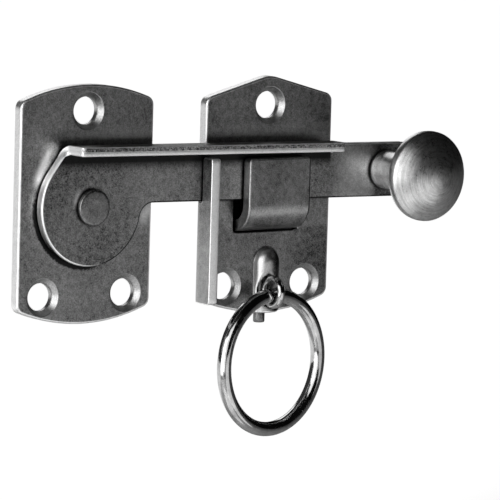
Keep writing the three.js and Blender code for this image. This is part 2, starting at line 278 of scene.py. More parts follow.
def blanked(back, front, rounding, tear=True):
    """(inset, z, tear) levels of a sheared edge, from the back face to the front face."""
    levels = [(BACK_ROUNDING + BACK_MARGIN, back, 0)]
    for i in range(BACK_STEPS + 1):
        a = math.pi / 2 * i / BACK_STEPS
        levels.append((BACK_ROUNDING * (1 - math.sin(a)), back + BACK_ROUNDING * (1 - math.cos(a)), 0))
    low = back + BACK_ROUNDING
    high = front - rounding
    torn_to = back + (front - back) * TEAR_SHARE
    if tear:
        rows = np.linspace(low + TEAR_MARGIN, torn_to - TEAR_MARGIN, TEAR_ROWS)
        levels += [(TEAR_DEPTH, z, 1) for z in rows]
        levels.append((0, torn_to, 0))
    levels.append((0, (torn_to + high) / 2, 0))
    for i in range(ROUND_STEPS + 1):
        a = math.pi / 2 * i / ROUND_STEPS
        levels.append((rounding * (1 - math.cos(a)), high + rounding * math.sin(a), 0))
    levels.append((rounding + FRONT_MARGIN, front, 0))
    return levels


def countersunk(back, front):
    """(inset, z, tear) levels of a screw hole with a turned countersink."""
    wide = SINK_RADIUS - SCREW_RADIUS
    foot = front - SINK_DEPTH
    levels = [(0.5, back, 0), (0.2, back, 0), (0.06, back + 0.06, 0), (0, back + 0.2, 0)]
    levels += [(0, back + (foot - back) * share, 0) for share in (0.4, 0.7, 0.95)]
    for i in range(1, SINK_RINGS):
        ridge = SINK_RIDGE if i % 2 else -SINK_RIDGE
        share = i / SINK_RINGS
        levels.append((wide * share + ridge, foot + (SINK_DEPTH - 0.1) * share, 0))
    levels += [(wide - 0.03, front - 0.12, 0), (wide + 0.03, front - 0.04, 0),
               (wide + 0.12, front, 0), (wide + 0.18, front, 0)]
    return levels


def plain_hole(back, front, back_wide=0.0, back_depth=0.4):
    """(inset, z, tear) levels of a drilled hole, opened out at the back for a rivet's tail."""
    return [(back_wide + 0.4, back, 0), (back_wide + 0.1, back, 0), (back_wide, back + 0.1, 0),
            (0, back + back_depth, 0), (0, front - 0.15, 0), (0.15, front, 0), (0.5, front, 0)]


# -------- sheet metal

def inward(points):
    """At each point, the direction into the metal, long enough to keep the edges parallel."""
    p = np.array(points)
    ahead = np.roll(p, -1, 0) - p
    ahead /= np.linalg.norm(ahead, axis=1)[:, None]
    normal = np.stack([-ahead[:, 1], ahead[:, 0]], 1)
    total = normal + np.roll(normal, 1, 0)
    total /= np.linalg.norm(total, axis=1)[:, None]
    share = np.clip((total * normal).sum(1), 0.5, 1)
    return total / share[:, None]


def inside(points, loops):
    """Whether each point is inside the outer loop and outside the holes, by crossings."""
    x, y = points[:, 0][:, None], points[:, 1][:, None]
    odd = np.zeros(len(points), bool)
    for loop in loops:
        ax, ay = loop[:, 0][None], loop[:, 1][None]
        bx, by = np.roll(loop[:, 0], -1)[None], np.roll(loop[:, 1], -1)[None]
        spans = (ay > y) != (by > y)
        with np.errstate(divide="ignore", invalid="ignore"):
            crossing = ax + (y - ay) * (bx - ax) / (by - ay)
        odd ^= (np.count_nonzero(spans & (x < crossing), axis=1) % 2).astype(bool)
    return odd


def clear_of(points, loops, distance):
    """The points that are further than distance from every point of the loops."""
    edge = np.concatenate(loops)
    keep = [np.min(np.hypot(*(edge - p).T)) > distance for p in points]
    return points[np.array(keep, bool)]


def lattice(x0, x1, y0, y1, dx, dy):
    """Points in rows and columns that fill a rectangle, about dx and dy apart."""
    xs = np.linspace(x0, x1, max(2, round((x1 - x0) / dx) + 1))
    ys = np.linspace(y0, y1, max(2, round((y1 - y0) / dy) + 1))
    return np.array([(x, y) for x in xs for y in ys])


def cap(loops, filling):
    """Triangles between the loops: (points inside, triangles of ids), loop points numbered first."""
    flat = np.concatenate(loops)
    edges = []
    start = 0
    for loop in loops:
        count = len(loop)
        edges += [(start + i, start + (i + 1) % count) for i in range(count)]
        start += count
    inner = filling[inside(filling, loops)]
    inner = clear_of(inner, loops, FINE * 0.8)
    points = [Vector(p) for p in np.concatenate([flat, inner])]
    spots, _, faces, sources, _, _ = delaunay_2d_cdt(points, edges, [], 0, 1e-5)
    ids = [source[0] for source in sources]
    middles = np.array([sum((Vector(spots[i]) for i in f), Vector((0, 0))) / len(f) for f in faces])
    corners = np.array([[spots[i] for i in f] for f in faces])
    one, two = corners[:, 1] - corners[:, 0], corners[:, 2] - corners[:, 0]
    area = abs(one[:, 0] * two[:, 1] - one[:, 1] * two[:, 0]) / 2
    good = inside(middles, loops) & (area > SLIVER)
    return inner, [[ids[i] for i in f] for f, ok in zip(faces, good) if ok]


def sheet(loops, filling):
    """Vertices, faces and (tear, edge) marks of a flat sheet. loops are (points, levels, shine)."""
    columns = []
    for points, levels, _ in loops:
        p, normal = np.array(points), inward(points)
        columns.append([(p + normal * inset, z, tear) for inset, z, tear in levels])
    verts, marks, faces, rows = [], [], [], []
    for column, (_, _, shine) in zip(columns, loops):
        starts = []
        last = len(column) - 1
        for level, (flat, z, tear) in enumerate(column):
            starts.append(len(verts))
            verts += [(x, y, z) for x, y in flat]
            marks += [(tear, shine if 0 < level < last else 0.0)] * len(flat)
        count = len(column[0][0])
        for low, high in zip(starts, starts[1:]):
            for i in range(count):
                j = (i + 1) % count
                faces.append((low + i, low + j, high + j, high + i))
        rows.append((starts, count))
    for side in (0, -1):
        edge_loops = [column[side][0] for column in columns]
        z = columns[0][side][1]
        inner, triangles = cap(edge_loops, filling)
        ids = [starts[side] + i for starts, count in rows for i in range(count)]
        ids += range(len(verts), len(verts) + len(inner))
        verts += [(x, y, z) for x, y in inner]
        marks += [(0.0, 0.0)] * len(inner)
        for a, b, c in triangles:
            faces.append((ids[a], ids[b], ids[c]) if side else (ids[c], ids[b], ids[a]))
    return np.array(verts), faces, np.array(marks, float)


def fold(coordinate, start, radius, middle):
    """How far a strip goes along and out when it bends by a quarter turn after start.

    radius is each point's own distance from the bend's centre, and middle the one that keeps
    its length. Returns (distance along, distance out from the bend's centre line)."""
    run = np.clip(coordinate - start, 0, None)
    quarter = middle * math.pi / 2
    angle = np.minimum(run, quarter) / middle
    along = np.minimum(coordinate, start) + radius * np.sin(angle)
    out = -radius * np.cos(angle) + np.maximum(run - quarter, 0)
    return along, out


# -------- Blender objects

def to_row(points):
    """Door coordinates in millimetres as places in the row frame."""
    p = np.asarray(points, float) * MM
    return np.stack([p[:, 0], -p[:, 2], p[:, 1]], 1)


def turned(points, angle, first, second, centre=(0, 0, 0)):
    """Points turned about the centre by an angle, in the plane of two of their coordinates."""
    p = np.asarray(points, float) - centre
    a, b = p[:, first].copy(), p[:, second].copy()
    p[:, first] = a * math.cos(angle) + b * math.sin(angle)
    p[:, second] = b * math.cos(angle) - a * math.sin(angle)
    return p + centre


def drooped(points):
    """Points drawn on the level arm, turned to where the closed arm rests."""
    return turned(points, ARM_DROOP, 0, 1)


MARKS = ("tear", "edge", "painted_light", "open")


def placed(name, data):
    """A new object of the scene."""
    obj = bpy.data.objects.new(name, data)
    bpy.context.scene.collection.objects.link(obj)
    return obj


def make(name, verts, faces, marks=None):
    """A smooth mesh object from door coordinates in millimetres, with its points' marks.

    tear is where the metal tore, edge how far an edge is worn bright, with its highlight painted in (below
    0 painted shade on a rim), the third mark the light and shade painted on a face (below 0 shade), and
    open how far a face is kept free of the shade painted into its corners."""
    mesh = bpy.data.meshes.new(name)
    mesh.from_pydata([tuple(v) for v in to_row(verts)], [], [tuple(f) for f in faces])
    mesh.polygons.foreach_set("use_smooth", [True] * len(mesh.polygons))
    columns = [] if marks is None else np.asarray(marks, np.float32).T
    for mark, values in zip(MARKS, columns):
        layer = mesh.attributes.new(mark, "FLOAT", "POINT")
        layer.data.foreach_set("value", np.ascontiguousarray(values))
    mesh.update()
    return placed(name, mesh)


def boolean(obj, other, operation):
    """Cuts or joins with another object, applies it and removes the other."""
    step = obj.modifiers.new("cut", "BOOLEAN")
    step.operation = operation
    step.solver = "EXACT"
    step.object = other
    shape = bpy.data.meshes.new_from_object(obj.evaluated_get(bpy.context.evaluated_depsgraph_get()))
    obj.modifiers.clear()
    old = obj.data
    name = old.name
    obj.data = shape
    bpy.data.meshes.remove(old)
    shape.name = name
    bpy.data.objects.remove(other)
    return obj


def revolve(profile, segments, axis_point, axis="z"):
    """Vertices and faces of a profile (radius, height) turned about an axis through a point."""
    verts, faces, rings = [], [], []
    for radius, height in profile:
        if radius < 1e-6:
            rings.append([len(verts)] * segments)
            verts.append((0, 0, height))
            continue
        rings.append(list(range(len(verts), len(verts) + segments)))
        for i in range(segments):
            a = 2 * math.pi * i / segments
            verts.append((radius * math.cos(a), radius * math.sin(a), height))
    for low, high in zip(rings, rings[1:]):
        for i in range(segments):
            j = (i + 1) % segments
            face = list(dict.fromkeys((low[i], low[j], high[j], high[i])))
            if len(face) > 2:
                faces.append(face)
    p = np.array(verts)
    if axis == "y":
        p = np.stack([p[:, 0], p[:, 2], -p[:, 1]], 1)
    return p + np.array(axis_point), faces


def torus(major, section, around):
    """Vertices and faces of a closed section (out, along) swept round the z axis."""
    count = len(section)
    verts, faces = [], []
    for i in range(around):
        a = 2 * math.pi * i / around
        for out, along in section:
            r = major + out
            verts.append((r * math.cos(a), r * math.sin(a), along))
    for i in range(around):
        for k in range(count):
            a, b = i * count, ((i + 1) % around) * count
            n = (k + 1) % count
            faces.append((a + k, b + k, b + n, a + n))
    return np.array(verts), faces


def oval(half_out, half_along, count):
    """The section of a round or oval wire, as (out, along)."""
    angles = np.linspace(0, 2 * math.pi, count, endpoint=False)
    return [(half_out * math.cos(a), half_along * math.sin(a)) for a in angles]


# -------- plates

def screw_holes(x):
    """The loops of a plate's three countersunk holes, about the plate's middle x."""
    spots = [(x, SCREW_TOP_Y), (x - SCREW_BOTTOM_X, SCREW_BOTTOM_Y), (x + SCREW_BOTTOM_X, SCREW_BOTTOM_Y)]
    levels = countersunk(0, SHEET)
    return [(hole(sx, sy + PLATE_CENTRE_Y, SCREW_RADIUS), levels, SINK_SHINE) for sx, sy in spots]


# painted highlights on the pivot plate, long soft streaks of reflected light: strength, middle, angle,
# length, width
PAINTED_STREAKS = ((4.2, (-13.2, 10.2), 63, 4.4, 1.05), (1.8, (18.2, -2.4), 60, 3.0, 1.6))
GAP_SHADE = 2.0  # painted shadow: how dark the plate is painted where it meets the arm's disc
LIT_PLATE = 0.6  # how bright the light painted on each plate's strip above the arm's ledge is
LIT_KEEPER = 0.5
# how far that strip is kept free of the shade painted into corners
LIT_OPEN = 0.9


def pivot_plate():
    outline = moved(curved_end(), 0, PLATE_CENTRE_Y) + moved(curved_end(), 0, PLATE_CENTRE_Y, -1)
    tail = plain_hole(0, SHEET, RIVET_TAIL - RIVET_SHANK, RIVET_TAIL_DEPTH)
    loops = [
        (divided(outline), blanked(0, SHEET, PLATE_ROUNDING, tear=False), 1.0),
        *screw_holes(0),
        (hole(0, 0, RIVET_SHANK + BORE_CLEARANCE), tail, 0.0),
    ]
    high = PLATE_HEIGHT / 2
    filling = lattice(-HALF_WIDTH, HALF_WIDTH, -high, high + 1, FINE_GRID, FINE_GRID)
    verts, faces, marks = sheet(loops, filling)
    # painted highlights: streaks of reflected light on the plate's front
    streaks = sum(strength * streak_patch(verts, *patch) for strength, *patch in PAINTED_STREAKS)
    # painted shadow in a crescent round the lower left of the arm's disc, where plate and disc meet
    outside = np.hypot(verts[:, 0], verts[:, 1]) - DISC_RADIUS
    around = np.degrees(np.arctan2(verts[:, 1], -verts[:, 0]))
    share = ramp(around, 20, -10) * ramp(around, -110, -85) * (verts[:, 2] > SHEET - SKIN)
    gap_shade = share * (outside > -1) * ramp(outside, 1.3, 0.6)
    lit = lit_strip(verts)
    # the plate's painted light and shade: painted highlights, the painted shadow by the disc and the
    # painted light above the ledge
    painted_tone = streaks * (1 - share) - GAP_SHADE * gap_shade + LIT_PLATE * lit
    open_to_light = np.maximum(np.clip(1.8 * streaks, 0, 1), LIT_OPEN * lit)
    return make("pivot_plate_formed", verts, faces, np.column_stack([marks, painted_tone, open_to_light]))


def lit_strip(verts):
    """1 on the strip of a plate's front that lies just above the arm's ledge, fading out upwards: where
    light is painted over the shade the ledge casts.
    """
    above = verts[:, 1] - LEDGE_TOP
    past_end = ramp(verts[:, 0], LEDGE_LEFT, LEDGE_LEFT + 3)
    return past_end * ramp(above, 4.5, 1.5) * (above > -1.5) * (verts[:, 2] > SHEET - SKIN)


def streak_patch(verts, middle, angle, length, width):
    """1 in the middle of a long soft streak of painted highlight, 0 well outside it."""
    turn = math.radians(angle)
    x, y = verts[:, 0] - middle[0], verts[:, 1] - middle[1]
    along = (x * math.cos(turn) + y * math.sin(turn)) / length
    across = (y * math.cos(turn) - x * math.sin(turn)) / width
    return np.exp(-along ** 4 - across ** 2) * (verts[:, 2] > SHEET - SKIN)


# The lip and the hook are part of the keeper's sheet. They are drawn in it flat and then bent.
LIP_MIDDLE = LIP_BEND - SHEET / 2
LIP_START = LIP_OUTER_X + LIP_BEND
LIP_LENGTH = LIP_MIDDLE * math.pi / 2 + LIP_FRONT - LIP_BEND
FINGER_WIDTH = LIP_FRONT - FINGER_BACK
NOTCH_Y = ARM_BOTTOM - math.tan(ARM_DROOP) * LIP_OUTER_X - GAP
SLIT = 0.45
TAB_FLAT_TOP = 9.7  # where the hook's tip lies in the flat drawing


def keeper_outline():
    """The keeper's flat outline, anticlockwise: the gabled plate with the lip drawn out to its left."""
    right = moved(gable_end(), KEEPER_X, PLATE_CENTRE_Y)
    bottom = moved(curved_end(), KEEPER_X, PLATE_CENTRE_Y, -1)
    left_x = KEEPER_X - HALF_WIDTH
    front_x = LIP_START - LIP_LENGTH
    lip = rounded([
        (left_x, 6, 0),
        (left_x, NOTCH_Y + SLIT, 1.0),
        (LIP_START, NOTCH_Y + SLIT, 0.2),
        (LIP_START, NOTCH_Y, 0.2),
        (front_x + FINGER_WIDTH, NOTCH_Y, 0.6),
        (front_x + FINGER_WIDTH, FINGER_TOP, 0.7),
        (front_x, FINGER_TOP, 0.7),
        (front_x, LIP_BOTTOM, 0.9),
        (LIP_START, LIP_BOTTOM, 0),
    ])
    foot = [(x, y) for x, y in bottom if x > LIP_START + 0.6]
    return divided(right + lip[1:] + foot)


def hook_slit():
    """The slit round the hook's flat drawing and the rest of its window, clockwise."""
    left, right = TAB_LEFT - GAP, TAB_RIGHT + GAP
    corners = [
        (left, TAB_ROOT, 0.1), (left, WINDOW_TOP, 0.8), (right, WINDOW_TOP, 0.8),
        (right, TAB_ROOT, 0.1), (TAB_RIGHT, TAB_ROOT, 0.1), (TAB_RIGHT, TAB_FLAT_TOP, 0.9),
        (TAB_LEFT, TAB_FLAT_TOP, 0.9), (TAB_LEFT, TAB_ROOT, 0.1),
    ]
    return divided(rounded(corners), FINE)


def bend_lip(p):
    """Bends the strip left of the plate forward, below and above the notch for the arm."""
    x, y, z = p.T
    strip = (x < LIP_START) & (y < NOTCH_Y + SLIT / 2)
    strip |= x < KEEPER_X - HALF_WIDTH - 0.5
    along, out = fold(-x, -LIP_START, LIP_BEND - z, LIP_MIDDLE)
    return np.where(strip, -along, x), y, np.where(strip, LIP_BEND + out, z)


def bend_hook(x, y, z, flat_z):
    """Leans the hook out of its window and straightens it up in front of the arm."""
    half = SHEET / 2
    foot, upper = TAB_FOOT_BEND - half, TAB_BEND - half
    rise = TAB_FRONT - SHEET
    bend_out = (foot + upper) * (1 - math.cos(TAB_LEAN))
    lean_run = (rise - bend_out) / math.sin(TAB_LEAN)
    bend_up = (foot + upper) * math.sin(TAB_LEAN) + lean_run * math.cos(TAB_LEAN)
    root_run = TAB_BEND_Y - TAB_ROOT - bend_up
    parts = (root_run, foot * TAB_LEAN, lean_run, upper * TAB_LEAN, TAB_TOP - TAB_BEND_Y)
    scale = sum(parts) / (TAB_FLAT_TOP - TAB_ROOT)
    s = (y - TAB_ROOT) * scale
    on_hook = (x > TAB_LEFT - GAP / 2) & (x < TAB_RIGHT + GAP / 2)
    on_hook &= (y > TAB_ROOT) & (y < TAB_FLAT_TOP + 0.5)
    across = flat_z - half
    a, b, c, d, _ = parts
    s1 = np.clip(s - a, 0, b) / foot
    s2 = np.clip(s - a - b, 0, c)
    s3 = np.clip(s - a - b - c, 0, d) / upper
    s4 = np.clip(s - a - b - c - d, 0, None)
    angle = s1 - s3
    mid_y = TAB_ROOT + np.clip(s, None, a) + foot * np.sin(s1) + s2 * math.cos(TAB_LEAN)
    mid_y += upper * (math.sin(TAB_LEAN) - np.sin(TAB_LEAN - s3)) + s4
    mid_z = half + foot * (1 - np.cos(s1)) + s2 * math.sin(TAB_LEAN)
    mid_z += upper * (np.cos(TAB_LEAN - s3) - math.cos(TAB_LEAN))
    new_y = mid_y - across * np.sin(angle)
    new_z = mid_z + across * np.cos(angle)
    return np.where(on_hook, new_y, y), np.where(on_hook, new_z, z)


def boss_height(x, y):
    """How far the front face is pressed out over the ring's pin."""
    dome_y = BOSS_TOP - BOSS_HALF_WIDTH
    distance = np.hypot(x - KEEPER_X, np.clip(y - dome_y, 0, None)) / BOSS_HALF_WIDTH
    height = BOSS_HEIGHT * np.sqrt(np.clip(1 - distance ** 2, 0, None))
    hole_x, hole_y = BOSS_HOLE_HALF
    from_hole = np.hypot((x - BOSS_HOLE_X) / hole_x, (y - EYE_Y) / hole_y)
    near = np.clip(1.14 - from_hole, 0, 0.14) / 0.14
    return height - 0.35 * near ** 2


def boss_filling():
    """Points that follow the boss's contours, so that its sides are smooth."""
    dome_y = BOSS_TOP - BOSS_HALF_WIDTH
    points = []
    on_boss = [BOSS_HALF_WIDTH * math.sin(math.radians(90 - 8 * k)) * 1.004 for k in range(12)]
    for radius in [*on_boss, BOSS_HALF_WIDTH + 0.12, BOSS_HALF_WIDTH + 0.5]:
        points += arc(KEEPER_X, dome_y, radius, 0, 180)
        for y in np.arange(dome_y - FINE, -PLATE_HEIGHT / 2, -FINE):
            points += [(KEEPER_X - radius, y), (KEEPER_X + radius, y)]
    return np.array(points)


def keeper_filling():
    """Points inside the keeper's flat drawing, close together where it will be bent."""
    x0, x1 = KEEPER_X - HALF_WIDTH, KEEPER_X + HALF_WIDTH
    coarse = lattice(x0, x1, -PLATE_HEIGHT / 2, PLATE_HEIGHT / 2 + 1, WIDE_GRID, WIDE_GRID)
    on_hook = (coarse[:, 0] > TAB_LEFT - 1) & (coarse[:, 0] < TAB_RIGHT + 1)
    on_hook &= (coarse[:, 1] > TAB_ROOT - 1) & (coarse[:, 1] < TAB_FLAT_TOP)
    on_bend = coarse[:, 0] < LIP_START + 0.5
    on_boss = (abs(coarse[:, 0] - KEEPER_X) < BOSS_HALF_WIDTH + 0.8) & (coarse[:, 1] < BOSS_TOP + 1)
    coarse = coarse[~(on_hook | on_boss | (on_bend & (coarse[:, 1] < 1)))]
    hook = lattice(TAB_LEFT, TAB_RIGHT, TAB_ROOT - 0.6, TAB_FLAT_TOP, BEND_GRID, 0.3)
    lip = lattice(LIP_START - LIP_LENGTH, LIP_START + 0.4, LIP_BOTTOM, FINGER_TOP, FINE_GRID, BEND_GRID)
    return np.concatenate([coarse, hook, lip, boss_filling()])


def keeper_marks(marks, flat, formed_y, formed_z):
    """The keeper's tear, edge, painted light and open marks, from its flat and its formed places."""
    x, y, z = flat.T
    front = z > SHEET - SKIN
    beside = x - KEEPER_X
    # painted light and shade on the boss: lighter on its left half, darker on its right
    painted_tone = ramp(boss_height(x, y), 0, 0.25) * front * np.clip(1.1 - 0.9 * (beside + 0.6), -1.1, 1.7)
    # painted shade on the lip's outer face near the arm, painted light on it lower down
    on_lip = (z < SKIN) & (x < LIP_START)
    painted_tone -= 0.5 * on_lip * ramp(y, 0.5, 4.5)
    painted_tone += 0.8 * on_lip * ramp(y, -2, -14)
    # painted shade: darker towards the right, below the hook
    painted_tone -= 0.45 * front * ramp(beside, 6, 15) * (y < TAB_ROOT)
    # painted highlight in a soft band across the hook's upper bend, 2 mm below its upright part
    on_hook = front & (abs(beside) < 9.3) & (formed_z > SHEET + 1)
    painted_tone += 0.8 * on_hook * np.exp(-((formed_y - TAB_BEND_Y + 2) / 1.4) ** 2)
    past = np.hypot(beside, np.clip(y - BOSS_TOP + BOSS_HALF_WIDTH, 0, None)) - BOSS_HALF_WIDTH
    beside_boss = 0.85 * ramp(past, 2.6, 1.8) * front * (y < BOSS_TOP + 3)
    lit = lit_strip(flat)
    # painted shade on the hook's right rim
    rim = (marks[:, 1] > 0) & (abs(x - TAB_RIGHT) < 0.6) & (x < TAB_RIGHT + GAP / 2)
    rim &= (y > TAB_ROOT) & (y < TAB_FLAT_TOP)
    marks[rim, 1] = -0.6
    return np.column_stack([marks, painted_tone + LIT_KEEPER * lit, np.maximum(beside_boss, LIT_OPEN * lit)])


def keeper_plate():
    loops = [
        (keeper_outline(), blanked(0, SHEET, PLATE_ROUNDING, tear=False), 1.0),
        *screw_holes(KEEPER_X),
        (hook_slit(), blanked(0, SHEET, PLATE_ROUNDING, tear=False), SLIT_SHINE),
    ]
    verts, faces, marks = sheet(loops, keeper_filling())
    flat_x, flat_y, flat_z = verts.T
    pressed = flat_z + boss_height(flat_x, flat_y) * np.clip(flat_z / SHEET, 0, 1) ** 2
    x, y, z = bend_lip(np.stack([flat_x, flat_y, pressed], 1))
    y, z = bend_hook(x, y, z, pressed)
    marks = keeper_marks(marks, verts, y, z)
    obj = make("keeper_plate_formed", np.stack([x, y, z], 1), faces, marks)
    boolean(obj, prism("foot_gap", foot_gap(), SHEET - 1.1, SHEET + 0.3), "DIFFERENCE")
    reach = PIN_RADIUS + GAP
    channel = [(PIN_X + reach, -1), *arc(PIN_X, PIN_Z, reach, 0, 180, 0.15), (PIN_X - reach, -1)]
    bottom = -PLATE_HEIGHT / 2 - 1
    boolean(obj, prism("channel", channel, bottom, PIN_TOP + GAP, upright=True), "DIFFERENCE")
    hole_x, hole_y = BOSS_HOLE_HALF
    circle = arc(0, 0, 1, 0, 360, 0.09)[:-1]
    ellipse = [(BOSS_HOLE_X + hole_x * px, EYE_Y + hole_y * py) for px, py in circle]
    boolean(obj, prism("eye_hole", ellipse, BOSS_HOLE_FLOOR, SHEET + BOSS_HEIGHT + 1), "DIFFERENCE")
    # A thin wall closes the hook's window at the back, so that the window shows dark: a sheet put there
    # for its shade, with painted shade on its front.
    spread = GAP * 1.5
    low, high = (TAB_LEFT - spread, TAB_ROOT - GAP), (TAB_RIGHT + spread, WINDOW_TOP + GAP)
    corners = [low, (high[0], low[1]), high, (low[0], high[1])]
    wall = prism("window_wall", corners, 0.01, WINDOW_FLOOR, painted_tone=WINDOW_DARK)
    wall.data.polygons.foreach_set("use_smooth", [False] * len(wall.data.polygons))
    return joined(obj, wall)


def joined(obj, other):
    """Adds the other object's closed mesh to the first one's."""
    build = bmesh.new()
    build.from_mesh(obj.data)
    build.from_mesh(other.data)
    build.to_mesh(obj.data)
    build.free()
    bpy.data.objects.remove(other)
    return obj


def foot_gap():
    """The narrow gap round the hook's foot, as a U that is open at the top."""
    left, right, low = TAB_LEFT - GAP, TAB_RIGHT + GAP, TAB_ROOT + 0.12
    wide = 0.5
    outer = rounded([(left - wide, WINDOW_TOP - 1, 0), (left - wide, low - wide, 1.2),
                     (right + wide, low - wide, 2.4), (right + wide, WINDOW_TOP - 1, 0)])
    inner = rounded([(right, WINDOW_TOP - 1, 0), (right, low, 2.1), (left, low, 0.9),
                     (left, WINDOW_TOP - 1, 0)])
    return outer + inner


def prism(name, outline, low, high, upright=False, painted_tone=0.0):
    """A closed prism of an outline (x, y) run out along z, or of (x, z) run up along y."""
    count = len(outline)
    verts = np.array([(*spot, run) for run in (low, high) for spot in outline])
    faces = [tuple(reversed(range(count))), tuple(range(count, 2 * count))]
    faces += [(i, (i + 1) % count, (i + 1) % count + count, i + count) for i in range(count)]
    if upright:
        verts = verts[:, [0, 2, 1]]
        faces = [tuple(reversed(face)) for face in faces]
    # the high end's face takes the given painted light or shade
    marks = [(0, 0, 0, 0)] * count + [(0, 0, painted_tone, 0)] * count
    return make(name, verts, faces, marks)


# -------- arm, knob and rivet

LEDGE_MIDDLE = LEDGE_BEND - ARM_SHEET / 2
LEDGE_START = LEDGE_TOP - LEDGE_BEND
LEDGE_FLAT = LEDGE_START + LEDGE_MIDDLE * math.pi / 2 + LEDGE_FRONT - ARM_BACK - LEDGE_BEND
RELIEF = 0.5


def arm_outline():
    """The arm's flat outline, anticlockwise: the disc, the bar and the ledge above it."""
    disc, fillet = DISC_RADIUS, ARM_FILLET
    fillet_y = ARM_BOTTOM - fillet
    fillet_x = math.sqrt((disc + fillet) ** 2 - fillet_y ** 2)
    meet = math.degrees(math.atan2(fillet_y, fillet_x))
    leave = math.radians(DISC_LEAVE)
    start = Vector((disc * math.cos(leave), disc * math.sin(leave)))
    meet_y = start.y - (LEDGE_LEFT - start.x) / math.tan(leave)
    end = ARM_END - ARM_END_RADIUS
    ledge = rounded([
        (start.x, start.y, 0),
        (LEDGE_LEFT, meet_y, 1.2),
        (LEDGE_LEFT, LEDGE_FLAT, 0.5),
        (LEDGE_RIGHT, LEDGE_FLAT, 0.8),
        (LEDGE_RIGHT, LEDGE_START, 0.2),
        (LEDGE_RIGHT + RELIEF, LEDGE_START, 0.2),
        (LEDGE_RIGHT + RELIEF, ARM_TOP, 0.8),
        (end, ARM_TOP, 0),
    ])
    anticlockwise = [
        *arc(end, ARM_BOTTOM + ARM_END_RADIUS, ARM_END_RADIUS, -90, 0),
        *arc(end, ARM_TOP - ARM_END_RADIUS, ARM_END_RADIUS, 0, 90)[:-1],
        *reversed(ledge[1:]),
        *arc(0, 0, disc, DISC_LEAVE, 360 + meet),
        *arc(fillet_x, fillet_y, fillet, 180 + meet, 90)[1:],
    ]
    return divided(anticlockwise)


def arm_marks(marks, x, y, z):
    """The arm's tear, edge, painted light and open marks, from its places in the flat drawing."""
    # painted shadow on the disc's lower rim: on its back part from near the left, on its front part only
    # round the bottom
    around = np.degrees(np.arctan2(y, x))
    back = ramp(z, ARM_FRONT - 0.75, ARM_FRONT - 0.95)
    turned_down = ramp(around, -165, -125) * back + ramp(around, -105, -65) * (1 - back)
    below = (around < 5) & (y < ARM_BOTTOM + 0.5)
    marks[:, 0] *= (x < LEDGE_RIGHT + RELIEF / 2) & (y > LEDGE_FLAT - 0.8)
    marks[:, 1] -= 1.5 * turned_down * below * (marks[:, 1] > 0)
    # painted highlight on the upper left edges: the disc's and the ledge's left end
    marks[:, 1] *= 1 + 0.5 * ((x < LEDGE_LEFT + 0.6) & (y > 0))
    # painted reflection of the rivet's head on the disc, up and to the left of it
    gleam = np.exp(-((np.hypot(x, y) - 5.1) / 0.55) ** 2 - ((around - 152) / 24) ** 2)
    gleam *= z > ARM_FRONT - SKIN
    # painted light on the arm past the ledge's end, a little darker over the disc, and painted shadow of
    # the knob from its neck to the arm's end
    painted_tone = 1.1 * ramp(x, LEDGE_RIGHT, LEDGE_RIGHT + 6) + 2.6 * gleam
    painted_tone -= 0.25 * ramp(x, DISC_RADIUS, DISC_RADIUS - 5)
    painted_tone -= 1.6 * ramp(x, KNOB_X - KNOB_NECK, KNOB_X - KNOB_NECK + 3)
    return np.column_stack([marks, painted_tone, np.clip(gleam * 2, 0, 1)])


def latch_arm():
    bore = plain_hole(ARM_BACK, ARM_FRONT)
    loops = [
        (arm_outline(), blanked(ARM_BACK, ARM_FRONT, ARM_ROUNDING), 1.0),
        (hole(0, 0, RIVET_SHANK + BORE_CLEARANCE), bore, 0.0),
        (hole(KNOB_X, KNOB_Y, KNOB_TENON + BORE_CLEARANCE), bore, 0.0),
    ]
    flat = lattice(-DISC_RADIUS, ARM_END, -DISC_RADIUS, LEDGE_START - 0.3, WIDE_GRID, WIDE_GRID)
    by_rivet = (abs(flat[:, 0]) < 8) & (abs(flat[:, 1]) < 8)
    flat = np.concatenate([flat[~by_rivet], lattice(-8, 8, -8, 8, FINE_GRID, FINE_GRID)])
    bend = lattice(LEDGE_LEFT, LEDGE_RIGHT, LEDGE_START, LEDGE_START + 2.7, WIDE_GRID, 0.27)
    ledge = lattice(LEDGE_LEFT, LEDGE_RIGHT, LEDGE_START + 3.4, LEDGE_FLAT, WIDE_GRID, WIDE_GRID)
    verts, faces, marks = sheet(loops, np.concatenate([flat, bend, ledge]))
    x, y, z = verts.T
    marks = arm_marks(marks, x, y, z)
    up, out = fold(y, LEDGE_START, LEDGE_BEND - (z - ARM_BACK), LEDGE_MIDDLE)
    bent = x < LEDGE_RIGHT + RELIEF / 2
    formed_z = np.where(bent & (y > LEDGE_START), ARM_BACK + LEDGE_BEND + out, z)
    marks[:, 2] *= formed_z > ARM_BACK + 0.1
    formed = np.stack([x, np.where(bent, up, y), formed_z], 1)
    return make("latch_arm_formed", drooped(formed), faces, marks)


